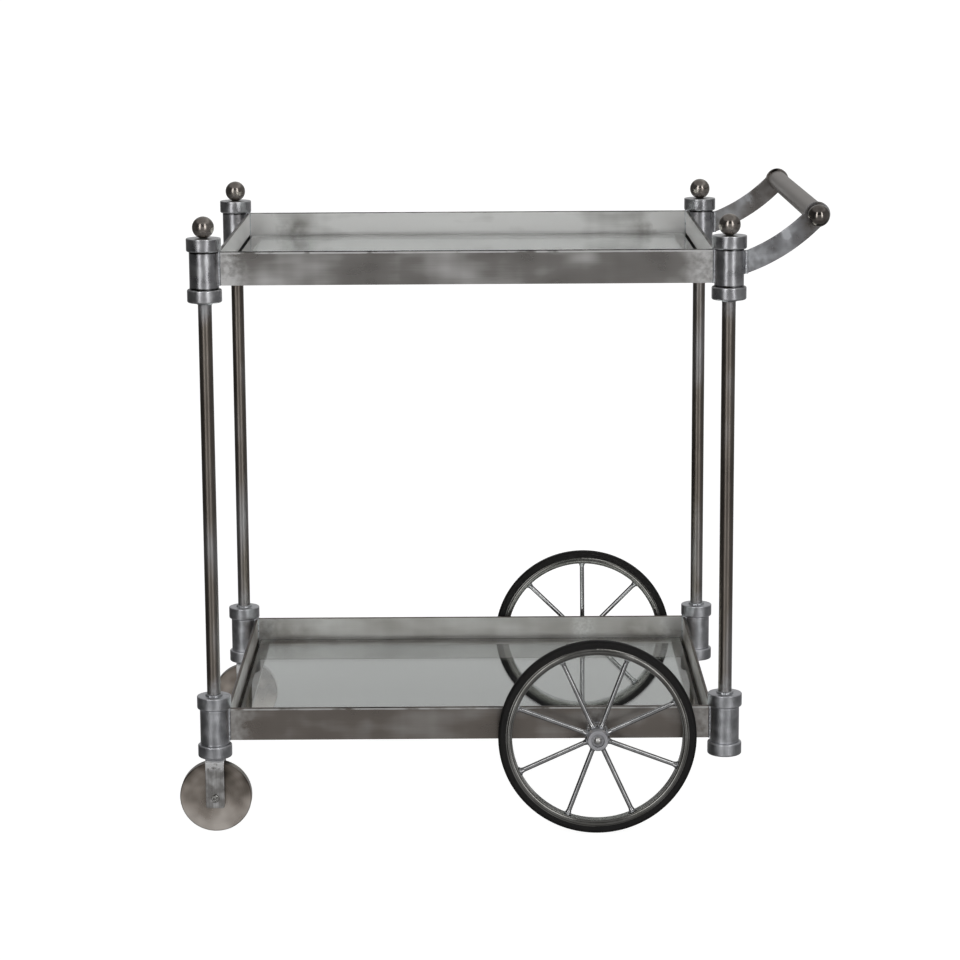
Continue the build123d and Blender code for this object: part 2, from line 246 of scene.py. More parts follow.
@dataclass(frozen=True)
class Metal:
    """Bare metal with a cloudy tone, fine lines one way, soft bands across them and an uneven polish.

    Its tone runs from sooty black in the burnt places and in painted shade, over dark and middle, to light where it was
    ground or rubbed and where highlights and light are painted. The lines and the grain of real metal are several times
    finer: here they are as coarse as the render needs to show.

    Metal under glass shares a plane with it, so a ray that leaves the glass there starts inside the metal. The backs
    of its faces, which can't be seen from outside, let such rays out, or the ledge would go black.
    """

    name: str
    dark: str
    middle: str
    light: str
    way: Way
    cloud_mm: float
    roughness: float
    unevenness: float = 0.05
    cloud_stretch: float = 1.0
    line_mm: float = 1.5
    line_share: float = 0.1
    band_mm: float = 40.0
    band_share: float = 0.0
    grain_mm: float = 3.0
    grain_depth_mm: float = 0.02
    wave_mm: float = 40.0
    wave_depth_mm: float = 0.1
    contrast: float = 1.0
    axle: Vector = ZERO
    patches: tuple[Patch, ...] = ()
    under_glass: bool = False

    def lines(self, add: Add, place: Socket) -> Socket:
        """Makes the fine lines that drawing, rubbing or turning leaves.

        Args:
            add: Adds a node to the finish.
            place: Object coordinates.

        Returns:
            Tone of the lines, from zero to one.
        """
        scale = 1 / (self.line_mm * MM)
        if self.way is Way.ROUND_AXLE:
            turned = {"W": axle_distance(add, place, self.axle), "Scale": scale, "Detail": 2.0}
            return add("ShaderNodeTexNoise", turned, noise_dimensions="1D")
        scales = [scale] * 3
        scales[self.way.value] /= LINE_STRETCH
        drawn = add("ShaderNodeMapping", {"Vector": place, "Scale": scales})
        return add("ShaderNodeTexNoise", {"Vector": drawn, "Scale": 1.0, "Detail": 3.0})

    def tone(self, add: Add, place: Socket) -> Socket:
        """Mixes the clouds, the lines and the bands.

        Args:
            add: Adds a node to the finish.
            place: Object coordinates.

        Returns:
            Tone of the bare surface, about one half.
        """
        scales = [1 / (self.cloud_mm * MM)] * 3
        if self.way is not Way.ROUND_AXLE:
            scales[self.way.value] /= self.cloud_stretch
        spot = add("ShaderNodeMapping", {"Vector": place, "Scale": scales})
        cloud = add("ShaderNodeTexNoise", {"Vector": spot, "Scale": 1.0, "Detail": 2.0})
        mixed = {0: self.line_share, 2: cloud, 3: self.lines(add, place)}
        tone = add("ShaderNodeMix", mixed, data_type="FLOAT")
        if not self.band_share:
            return tone
        along = add("ShaderNodeSeparateXYZ", {0: place}, out=self.way.value)
        banded = {"W": along, "Scale": 1 / (self.band_mm * MM), "Detail": 1.5}
        band = add("ShaderNodeTexNoise", banded, noise_dimensions="1D")
        return add("ShaderNodeMix", {0: self.band_share, 2: tone, 3: band}, data_type="FLOAT")

    def relief(self, add: Add, place: Socket) -> Socket:
        """Makes the surface's slow waves and fine grain.

        Args:
            add: Adds a node to the finish.
            place: Object coordinates.

        Returns:
            The bumped normal.
        """
        wave = add("ShaderNodeTexNoise", {"Vector": place, "Scale": 1 / (self.wave_mm * MM), "Detail": 1.0})
        slow = add("ShaderNodeBump", {"Height": wave, "Distance": self.wave_depth_mm * MM})
        grain = add("ShaderNodeTexNoise", {"Vector": place, "Scale": 1 / (self.grain_mm * MM), "Detail": 2.0})
        return add("ShaderNodeBump", {"Height": grain, "Distance": self.grain_depth_mm * MM, "Normal": slow})

    def material(self) -> Material:
        """Builds the finish.

        Returns:
            The material.
        """
        material = bpy.data.materials.new(self.name)
        add = empty_tree(material)
        place = add("ShaderNodeTexCoord", out="Object")
        tone = polish = self.tone(add, place)
        for patch in self.patches:
            mask = patch.mask(add, place)
            tone = add("ShaderNodeMath", {0: mask, 1: patch.lift, 2: tone}, operation="MULTIPLY_ADD")
            if patch.dulling:
                polish = add("ShaderNodeMath", {0: mask, 1: patch.dulling, 2: polish}, operation="MULTIPLY_ADD")
        half = TONE_SPREAD / self.contrast
        spread = {"Value": tone, "From Min": 0.5 - half, "From Max": 0.5 + half, "To Min": DARK_STOP}
        colour = add("ShaderNodeValToRGB", {"Fac": add("ShaderNodeMapRange", spread, clamp=False)})
        stops = colour.node.color_ramp.elements
        stops[0].color = linear(SOOT)
        stops[1].color = linear(self.light)
        stops.new(DARK_STOP).color = linear(self.dark)
        stops.new((1 + DARK_STOP) / 2).color = linear(self.middle)
        rough = {"Value": polish, "From Min": NOISE_LOW, "From Max": NOISE_HIGH}
        rough |= {"To Min": self.roughness - self.unevenness, "To Max": self.roughness + self.unevenness}
        roughness = add("ShaderNodeMapRange", rough, clamp=False)
        shader = {"Base Color": colour, "Metallic": 1.0, "Roughness": roughness, "Normal": self.relief(add, place)}
        surface = add("ShaderNodeBsdfPrincipled", shader)
        if self.under_glass:
            inside = add("ShaderNodeNewGeometry", out="Backfacing")
            surface = add("ShaderNodeMixShader", {0: inside, 1: surface, 2: add("ShaderNodeBsdfTransparent")})
        add("ShaderNodeOutputMaterial", {"Surface": surface})
        return material


@dataclass(frozen=True)
class FloatGlass:
    """Clear float glass with a faint green body and hardly visible wipe marks, which dull its mirror image."""

    name: str = "wiped_float_glass"
    tint: str = "#f0f5f2"
    wipe_mm: float = 90.0
    wiped: tuple[float, float] = (0.45, 0.8)
    haze: float = 0.03
    ior: float = 1.5

    def material(self) -> Material:
        """Builds the glass.

        Returns:
            The material.
        """
        material = bpy.data.materials.new(self.name)
        add = empty_tree(material)
        place = add("ShaderNodeTexCoord", out="Object")
        smeared = {"Vector": place, "Scale": 1 / (self.wipe_mm * MM), "Detail": 3.0, "Distortion": 1.2}
        wipe = add("ShaderNodeTexNoise", smeared)
        haze = {"Value": wipe, "From Min": self.wiped[0], "From Max": self.wiped[1], "To Max": self.haze}
        shader = {"Base Color": linear(self.tint), "Roughness": add("ShaderNodeMapRange", haze)}
        shader |= {"IOR": self.ior, "Transmission Weight": 1.0}
        add("ShaderNodeOutputMaterial", {"Surface": add("ShaderNodeBsdfPrincipled", shader)})
        return material


@dataclass(frozen=True)
class TyreRubber:
    """Moulded black rubber, matt, with fine rings from its mould and a little dust that greys it."""

    axle: Vector
    name: str = "moulded_black_rubber"
    body: str = "#0f0e0e"
    dusty: str = "#211f1e"
    ring_mm: float = 1.6  # finer in a real mould, too fine to show here
    ring_depth_mm: float = 0.25
    dust_mm: float = 25.0
    dusted: tuple[float, float] = (0.4, 0.8)
    roughness: tuple[float, float] = (0.5, 0.68)
    shine: float = 0.3

    def material(self) -> Material:
        """Builds the rubber.

        Returns:
            The material.
        """
        material = bpy.data.materials.new(self.name)
        add = empty_tree(material)
        place = add("ShaderNodeTexCoord", out="Object")
        ringed = {"W": axle_distance(add, place, self.axle), "Scale": 1 / (self.ring_mm * MM), "Detail": 1.0}
        rings = add("ShaderNodeTexNoise", ringed, noise_dimensions="1D")
        dust = add("ShaderNodeTexNoise", {"Vector": place, "Scale": 1 / (self.dust_mm * MM), "Detail": 4.0})
        shown = {"Value": dust, "From Min": self.dusted[0], "From Max": self.dusted[1]}
        mixed = {0: add("ShaderNodeMapRange", shown), 6: linear(self.body), 7: linear(self.dusty)}
        colour = add("ShaderNodeMix", mixed, out=2, data_type="RGBA")
        worn = {"Value": dust, "From Min": NOISE_LOW, "From Max": NOISE_HIGH}
        worn |= {"To Min": self.roughness[0], "To Max": self.roughness[1]}
        shader = {"Base Color": colour, "Roughness": add("ShaderNodeMapRange", worn)}
        shader["Normal"] = add("ShaderNodeBump", {"Height": rings, "Distance": self.ring_depth_mm * MM})
        shader["Specular IOR Level"] = self.shine
        add("ShaderNodeOutputMaterial", {"Surface": add("ShaderNodeBsdfPrincipled", shader)})
        return material


@dataclass(frozen=True)
class Bead:
    """Sizes of a round bead: rippled and uneven for a weld, plain for the rolled lip of a rim."""

    radius_mm: float
    pitch_mm: float
    ripple: float = 0.0
    unevenness: float = 0.0
    seed: float = 0.0

    def inputs(self) -> dict[str, float]:
        """Value for each of the bead tree's inputs."""
        sizes = {"Bead Radius": self.radius_mm * MM, "Ripple Pitch": self.pitch_mm * MM}
        return sizes | {"Ripple Depth": self.ripple, "Unevenness": self.unevenness, "Seed": self.seed}


class BeadTree:
    """Geometry Nodes tree that sweeps round beads along paths: welds, and the lips of the rims."""

    def __init__(self) -> None:
        """Builds the tree, with a named input for each size."""
        self.tree = bpy.data.node_groups.new("round_bead", "GeometryNodeTree")
        self.tree.is_modifier = True
        face = self.tree.interface
        sizes = [(name, "Float") for name in ("Bead Radius", "Ripple Pitch", "Ripple Depth", "Unevenness", "Seed")]
        for name, kind in (("Paths", "Geometry"), *sizes, ("Metal", "Material")):
            face.new_socket(name, in_out="INPUT", socket_type=f"NodeSocket{kind}")
        face.new_socket("Bead", in_out="OUTPUT", socket_type="NodeSocketGeometry")
        add = partial(add_node, self.tree)
        given = add("NodeGroupInput").node.outputs
        pitch = given["Ripple Pitch"]
        curve = add("GeometryNodeMeshToCurve", {"Mesh": given["Paths"]})
        step = add("ShaderNodeMath", {0: pitch, 1: 1 / POINTS_PER_RIPPLE}, operation="MULTIPLY")
        even = add("GeometryNodeResampleCurve", {"Curve": curve, "Length": step}, mode="LENGTH")
        along = add("GeometryNodeSplineParameter", out="Length")
        turns = add("ShaderNodeMath", {0: along, 1: pitch}, operation="DIVIDE")
        phase = add("ShaderNodeMath", {0: turns, 1: 2 * pi}, operation="MULTIPLY")
        wave = add("ShaderNodeMath", {0: phase}, operation="SINE")
        ripple = add("ShaderNodeMath", {0: wave, 1: given["Ripple Depth"], 2: 1.0}, operation="MULTIPLY_ADD")
        lumpy = {"Vector": add("GeometryNodeInputPosition"), "W": given["Seed"]}
        lumpy |= {"Scale": LUMPS_PER_METRE, "Detail": 1.0}
        lumps = add("ShaderNodeTexNoise", lumpy, noise_dimensions="4D")
        swing = add("ShaderNodeMapRange", {"Value": lumps, "From Min": 0.2, "From Max": 0.8, "To Min": -1.0})
        scale = add("ShaderNodeMath", {0: swing, 1: given["Unevenness"], 2: ripple}, operation="MULTIPLY_ADD")
        circle = {"Resolution": PROFILE_POINTS, "Radius": given["Bead Radius"]}
        profile = add("GeometryNodeCurvePrimitiveCircle", circle)
        swept = {"Curve": even, "Profile Curve": profile, "Scale": scale, "Fill Caps": True}
        bead = add("GeometryNodeCurveToMesh", swept)
        smooth = add("GeometryNodeSetShadeSmooth", {"Geometry": bead})
        real = add("GeometryNodeRealizeInstances", {"Geometry": smooth})
        metal = add("GeometryNodeSetMaterial", {"Geometry": real, "Material": given["Metal"]})
        add("NodeGroupOutput", {"Bead": metal})

    def lay(self, name: str, paths: list[Points], bead: Bead, body: str, metal: Material, slot: str) -> None:
        """Lays one bead along each path and joins them in one piece.

        Args:
            name: Name of the piece.
            paths: Points that each bead follows, closed where the last point is the first.
            bead: Sizes of the beads.
            body: CAD body that carries the piece.
            metal: Finish of the beads.
            slot: The piece's material slot; not used.
        """
        points: Points = []
        edges: list[tuple[int, int]] = []
        for path in paths:
            first = len(points)
            closed = (path[0] - path[-1]).length < CLOSED_GAP
            run = path[:-1] if closed else path
            points += run
            edges += [(first + i, first + i + 1) for i in range(len(run) - 1)]
            if closed:
                edges.append((first + len(run) - 1, first))
        mesh = bpy.data.meshes.new(name)
        mesh.from_pydata([tuple(p) for p in points], edges, [])
        piece = bpy.data.objects.new(name, mesh)
        bpy.context.scene.collection.objects.link(piece)
        modifier = piece.modifiers.new("bead", "NODES")
        modifier.node_group = self.tree
        values = bead.inputs() | {"Metal": metal}
        for item in self.tree.interface.items_tree:
            if item.in_out == "INPUT" and item.name in values:
                modifier[item.identifier] = values[item.name]
        graph = bpy.context.evaluated_depsgraph_get()
        final = bpy.data.meshes.new_from_object(piece.evaluated_get(graph))
        piece.modifiers.clear()
        piece.data = final
        final.name = name
        bpy.data.meshes.remove(mesh)
        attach(piece, body)
        log.info("laid %s, %d faces", name, len(final.polygons))


def ring(centre: Vector, axis: Vector, radius: float, steps: int = 24) -> Points:
    """Works out a closed circle.

    Args:
        centre: Middle of the circle.
        axis: Unit vector square to the circle.
        radius: Radius in metres.
        steps: Number of points.

    Returns:
        Points of the circle, with the first one again at the end.
    """
    side = axis.orthogonal().normalized()
    other = axis.cross(side)
    turns = [2 * pi * i / steps for i in range(steps)]
    points = [centre + radius * (cos(t) * side + sin(t) * other) for t in turns]
    return points + [points[0].copy()]


def box_middle(node: str) -> Vector:
    """Middle of a CAD node's box."""
    low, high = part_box(node)
    return (low + high) / 2


@dataclass
class Layout:
    """Places that several sub-assemblies share, read from the CAD nodes."""

    centre: Vector = field(init=False)
    post_reach: Vector = field(init=False)
    wheel: Vector = field(init=False)
    caster: Vector = field(init=False)
    grip: Vector = field(init=False)

    def __post_init__(self) -> None:
        """Reads the places."""
        left = box_middle("post_front_left")
        right = box_middle("post_back_right")
        self.centre = Vector(((left.x + right.x) / 2, 0, 0))
        self.post_reach = Vector(((right.x - left.x) / 2, right.y, 0))
        self.wheel = box_middle("back_wheel_rim")
        self.caster = box_middle("back_caster_disc")
        self.grip = box_middle("handle_grip")

    def post(self, corner: Corner, z: float = 0.0) -> Vector:
        """Point on a post's axis at a height."""
        middle = box_middle(corner.node("post"))
        return Vector((middle.x, middle.y, z))

    def by_posts(self, half_mm: float, lift: float) -> Patch:
        """Patch of speckled bright metal round each post's axis, where the welds were ground."""
        return Patch(self.centre, self.post_reach, (half_mm, half_mm, 0), lift, grain_mm=7.0, broken=0.6)


@dataclass
class SubAssembly:
    """Pieces that belong together, and what they share with the others."""

    layout: Layout
    beads: BeadTree
    weld_metal: Material

    def weld(self) -> None:
        """Lays the beads, where there are any."""


@dataclass
class Trays(SubAssembly):
    """Two trays of welded angle rail with a glass shelf in each."""

    sleeve_radius_mm: float = 19.2
    wall_mm: float = 4.0
    ledge_mm: float = 18.0
    skin_mm: float = 0.5
    edge_mm: float = 3.0
    gap_mm: float = 3.2
    burn_from_end_mm: float = 52.0
    burn_rise_mm: float = 6.0
    smear_rise_mm: float = 20.0
    worn_mm: float = 2.0
    sheared_mm: float = 1.2
    sleeve_bead: Bead = Bead(2.4, 4.0, ripple=0.03, unevenness=0.15, seed=3.0)
    corner_bead: Bead = Bead(1.4, 4.0, ripple=0.03, unevenness=0.15, seed=3.0)

    def wear(self, level: Level, way: Way) -> list[Patch]:
        """Works out where rails are paler, darker or duller than their own tone.

        Args:
            level: Upper or lower tray.
            way: Direction of the rails.

        Returns:
            The patches.
        """
        layout, upper, long = self.layout, level is Level.UPPER, way is Way.ALONG_X
        low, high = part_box(f"{level}_rail_right")
        centre, top = layout.centre, layout.centre + UP * high.z
        on_ledge = centre + UP * (low.z + self.wall_mm * MM)
        inner = Vector((high.x - centre.x, layout.post_reach.y, 0)) - Vector((1, 1, 0)) * self.wall_mm * MM
        half_ledge = self.ledge_mm / 2
        reach = half_ledge + self.skin_mm + self.edge_mm
        core = (half_ledge + self.skin_mm) / reach
        if long:
            inside, half = Vector((0, inner.y - half_ledge * MM, 0)), (0, reach)
            lift, dulling = 0.32, 0.5
        else:
            inside, half = Vector((inner.x - half_ledge * MM, 0, 0)), (reach, 0)
            lift, dulling = 0.34 if upper else 0.16, 0.8
        patches = [
            layout.by_posts(70.0, 0.2),
            # Painted shade: a dark line is painted along the top edge.
            Patch(top, ZERO, (0, 0, self.sheared_mm), lift=-0.6, core=0.6, grain_mm=40.0, broken=0.3),
            # Painted light: the inside is painted paler, and grinding left it duller;
            # the painted light stops at the ledge under the glass.
            Patch(centre, inside, (*half, 0), lift, core, dulling=dulling),
            Patch(on_ledge, inside, (*half, self.gap_mm), -lift, core),
        ]
        if not long:
            # Painted shade: the slit beside the glass is painted dark.
            slit_shade, share = (-1.1, 1.0) if upper else (-0.8, 0.7)
            slit = Vector((inner.x - self.gap_mm * MM / 2, 0, 0))
            beside = centre + UP * box_middle(f"{level}_glass").z
            return [*patches, Patch(beside, slit, (share * self.gap_mm, 0, 2 * self.gap_mm), slit_shade, core=0.7)]
        # A painted highlight: a bright line is painted just below the top edge. The inside is burnt towards the
        # corners.
        rim, outside = top - UP * self.worn_mm * MM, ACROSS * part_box(f"{level}_rail_back")[1].y
        worn = (0, self.worn_mm, 0.8 * self.worn_mm)
        patches.append(Patch(rim, outside, worn, lift=0.5, core=0.4, grain_mm=26.0, broken=1.4))
        back = Vector((centre.x, inner.y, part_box(f"{level}_glass")[1].z + self.burn_rise_mm * MM))
        burnt = Vector((inner.x - self.burn_from_end_mm * MM, 0, 0))
        burn = {"lift": -0.14, "core": 0.0, "turn_deg": 12.0, "grain_mm": 22.0, "broken": 0.9}
        patches.append(Patch(back, burnt, (64.0, 20.0, 26.0), **burn))
        if not upper:
            # A speckled, paler patch rises above each stub axle.
            axle, rise = Vector((layout.wheel.x, 0, layout.wheel.z)), UP * self.smear_rise_mm * MM
            patches.append(Patch(axle, rise, (24.0, 0, 40.0), lift=0.14, core=0.25, grain_mm=4.0, broken=0.6))
        return patches

    def rail_finish(self, level: Level, way: Way) -> Metal:
        """Steel rail rubbed by hand: soft smears and bands on a satin grey, bluish and speckled by the ground welds.

        Args:
            level: Upper or lower tray, of which the lower one is browner and more even.
            way: Direction of the rails and of the rubbing.

        Returns:
            The finish.
        """
        upper = level is Level.UPPER
        tones = ("#7f7b78", "#999693", "#ebeae9") if upper else ("#756e68", "#87807a", "#d9d8d6")
        return Metal(
            f"rubbed_steel_{level}_{way.name.lower()}", *tones, way, cloud_mm=42.0, cloud_stretch=2.6,
            line_share=0.08, band_mm=38.0, band_share=0.22 if way is Way.ALONG_X else 0.0,
            contrast=1.0 if upper else 0.55, roughness=0.3, wave_mm=60.0, wave_depth_mm=1.0,
            patches=tuple(self.wear(level, way)), under_glass=True,
        )

    def dress(self) -> None:
        """Gives the rails and the glass their finishes."""
        for level in Level:
            for way, sides in RAILS.items():
                finish_nodes([f"{level}_rail_{side}" for side in sides], self.rail_finish(level, way).material())
        finish_nodes([f"{level}_glass" for level in Level], FloatGlass().material())

    def weld(self) -> None:
        """Lays the beads that join the rails to the sleeves and to each other, up and over their top edges."""
        outer: list[Points] = []
        inner: list[Points] = []
        wall, reach = self.wall_mm * MM, self.sleeve_radius_mm * MM
        for level in Level:
            low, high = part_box(f"{level}_rail_front")
            glass_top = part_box(f"{level}_glass")[1].z
            end_faces = {-1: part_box(f"{level}_rail_left")[0].x, 1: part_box(f"{level}_rail_right")[1].x}
            for corner in Corner:
                along, across = corner.value
                post, end_face = self.layout.post(corner), end_faces[along]
                half_chord = sqrt(reach**2 - (post.x - end_face) ** 2)
                for spot, over in (
                    (Vector((post.x - along * reach, post.y, 0)), Vector((0, -across * wall, 0))),
                    (Vector((end_face, post.y - across * half_chord, 0)), Vector((-along * wall, 0, 0))),
                ):
                    head = spot + UP * high.z
                    outer.append([spot + UP * low.z, head, head + over])
                seam = Vector((end_face - along * wall, post.y - across * wall, 0))
                head = seam + UP * high.z
                inner.append([seam + UP * glass_top, head, head + Vector((along * wall / 2, across * wall / 2, 0))])
        self.beads.lay("tray_sleeve_welds", outer, self.sleeve_bead, "frame", self.weld_metal, "rail_steel")
        self.beads.lay("tray_corner_welds", inner, self.corner_bead, "frame", self.weld_metal, "rail_steel")


@dataclass
class Posts(SubAssembly):
    """Four tube posts in cast sleeves, with a ball on each."""

    post_radius_mm: float = 9.0
    dull_end_mm: float = 34.0
    collar_height_mm: float = 17.3
    groove_mm: float = 1.2
    rim_mm: float = 1.2
    bead: Bead = Bead(2.6, 3.0, ripple=0.05, unevenness=0.15, seed=11.0)

    def tube_finish(self) -> Metal:
        """Drawn steel tube, streaked along its length, with ends that the weld's heat left dull and pale.

        Returns:
            The finish.
        """
        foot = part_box("lower_sleeve_front_left")[1].z
        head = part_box("upper_sleeve_front_left")[0].z
        heat = {"lift": 0.2, "core": 0.1, "dulling": 0.7, "grain_mm": 5.0, "broken": 0.4}
        dull = Patch(UP * (foot + head) / 2, UP * (head - foot) / 2, (0, 0, self.dull_end_mm), **heat)
        return Metal(
            "drawn_steel_tube", "#665f59", "#7d766f", "#acacae", Way.ALONG_Z, cloud_mm=40.0, cloud_stretch=3.0,
            line_mm=2.4, line_share=0.07, roughness=0.32, patches=(dull,),
        )

    def sleeve_finish(self, level: Level) -> Metal:
        """Cast iron rubbed by hand: uneven, so its highlights waver, with highlights painted along the collars' rims.

        Args:
            level: Upper or lower tray. The lower one's sleeves are duller, with a painted highlight in each groove;
                the upper one's have painted shade in each groove.

        Returns:
            The finish.
        """
        upper = level is Level.UPPER
        low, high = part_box(f"{level}_sleeve_front_left")
        middle, half_height = UP * (low.z + high.z) / 2, (high.z - low.z) / 2
        # Each groove beside the collars gets painted shade on the upper sleeves and a painted highlight on the lower
        # ones.
        groove = UP * (half_height - (self.collar_height_mm + self.groove_mm / 2) * MM)
        groove_shade_and_highlight = Patch(middle, groove, (0, 0, 2 * self.groove_mm), -0.4 if upper else 0.2, core=0.3)
        # Painted highlights run along the collars' rims.
        rubbed = {"half_mm": (0, 0, self.rim_mm), "lift": 0.4, "core": 0.3, "grain_mm": 8.0, "broken": 0.6}
        rims = [
            Patch(middle, UP * (half_height - down * MM), **rubbed)
            for down in (self.rim_mm / 2, self.collar_height_mm - self.rim_mm)
        ]
        tones = ("#8e8e91", "#aeaeb1", "#d5d6d8") if upper else ("#8d8e92", "#aaabae", "#cfd0d4")
        return Metal(
            f"rubbed_cast_iron_{level}", *tones, Way.ALONG_Z, cloud_mm=16.0, roughness=0.3 if upper else 0.4,
            unevenness=0.06, grain_mm=2.2, grain_depth_mm=0.03, wave_mm=15.0, wave_depth_mm=0.6,
            patches=(groove_shade_and_highlight, *rims),
        )

    def ball_finish(self) -> Metal:
        """Rubbed gunmetal: dark and warm, with a broad soft highlight."""
        return Metal(
            "rubbed_gunmetal_ball", "#857e78", "#9c958f", "#b3ada6", Way.ALONG_Z, cloud_mm=9.0, roughness=0.22,
            unevenness=0.03,
        )

    def dress(self) -> None:
        """Gives the posts, the sleeves and the balls their finishes."""
        finish_nodes([corner.node("post") for corner in Corner], self.tube_finish().material())
        for level in Level:
            sleeves = [corner.node(f"{level}_sleeve") for corner in Corner]
            finish_nodes(sleeves, self.sleeve_finish(level).material())
        finish_nodes([corner.node("finial") for corner in Corner], self.ball_finish().material())

    def weld(self) -> None:
        """Lays a ring of weld where each post enters its sleeves."""
        rings = [
            ring(self.layout.post(corner, z), UP, self.post_radius_mm * MM)
            for corner in Corner
            for z in (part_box(corner.node("lower_sleeve"))[1].z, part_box(corner.node("upper_sleeve"))[0].z)
        ]
        self.beads.lay("post_weld_rings", rings, self.bead, "frame", self.weld_metal, "post_steel")


@dataclass
class PushHandle(SubAssembly):
    """Two curved flat arms, a tube grip between them and a ball on each end."""

    arm_width_mm: float = 28.0
    sleeve_radius_mm: float = 19.2
    root_rise_mm: float = 41.7
    sag_mm: float = 9.5
    smear_mm: tuple[float, float, float] = (-42.0, 0.0, -22.0)
    bead: Bead = Bead(2.4, 3.0, ripple=0.05, unevenness=0.2, seed=7.0)

    def arm_finish(self, face: Face) -> Metal:
        """Flat steel rubbed by hand: bluish and speckled by the root's weld, brown from the heat round the eye.

        Args:
            face: Front or back arm, of which the back one is browner.

        Returns:
            The finish.
        """
        front, grip = face is Face.FRONT, self.layout.grip
        tones = ("#7a7673", "#959598", "#d0d2d6") if front else ("#77726e", "#918e8c", "#c0c1c4")
        heat = Patch(grip, ZERO, (34.0, 0, 34.0), lift=-0.2, core=0.5, grain_mm=14.0, broken=0.4)
        smear = Patch(
            grip, Vector(self.smear_mm) * MM, (8.0, 0, 22.0), lift=0.3, core=0.2, turn_deg=-28.0, grain_mm=5.0,
            broken=0.8, folded=False,
        )
        return Metal(
            f"rubbed_steel_arm_{face}", *tones, Way.ALONG_X, cloud_mm=26.0, line_share=0.06, roughness=0.3,
            wave_depth_mm=0.6, patches=(self.layout.by_posts(75.0, 0.12), heat, smear),
        )

    def grip_finish(self) -> Metal:
        """Steel tube brushed lengthwise to a warm, even satin."""
        return Metal(
            "brushed_steel_grip", "#8c8681", "#9e9893", "#b0aba7", Way.ALONG_Y, cloud_mm=60.0, line_mm=1.8,
            line_share=0.25, roughness=0.36,
        )

    def ball_finish(self) -> Metal:
        """Polished gunmetal: nearly black, with two small sharp highlights."""
        return Metal(
            "polished_gunmetal_ball", "#6a6460", "#7d7772", "#938d88", Way.ALONG_Z, cloud_mm=9.0, roughness=0.1,
            unevenness=0.02,
        )

    def dress(self) -> None:
        """Gives the arms, the grip with its plugs and the end balls their finishes."""
        for face in Face:
            finish_nodes([f"handle_arm_{face}"], self.arm_finish(face).material())
        finish_nodes(["handle_grip", "handle_plugs"], self.grip_finish().material())
        finish_nodes([f"handle_ball_{face}" for face in Face], self.ball_finish().material())

    def weld(self) -> None:
        """Lays the beads at the arms' roots, where their spines, parabolas below their chords, leave the sleeves."""
        paths: list[Points] = []
        half = self.arm_width_mm * MM / 2
        for face, corner in ((Face.FRONT, Corner.FRONT_RIGHT), (Face.BACK, Corner.BACK_RIGHT)):
            low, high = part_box(f"handle_arm_{face}")
            root = self.layout.post(corner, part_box(corner.node("upper_sleeve"))[0].z + self.root_rise_mm * MM)
            chord = self.layout.grip * Vector((1, 0, 1)) + ACROSS * root.y - root
            drop = Vector((chord.z, 0, -chord.x)).normalized() * self.sag_mm * MM
            share = self.sleeve_radius_mm * MM / chord.x
            spine = root + chord * share + drop * 4 * share * (1 - share)
            heading = (chord + drop * 4 * (1 - 2 * share)).normalized()
            for y in (low.y, high.y):
                middle = Vector((spine.x, y, spine.z))
                paths.append([middle - UP * half / heading.x, middle + UP * half / heading.x])
        self.beads.lay("handle_welds", paths, self.bead, "frame", self.weld_metal, "rail_steel")


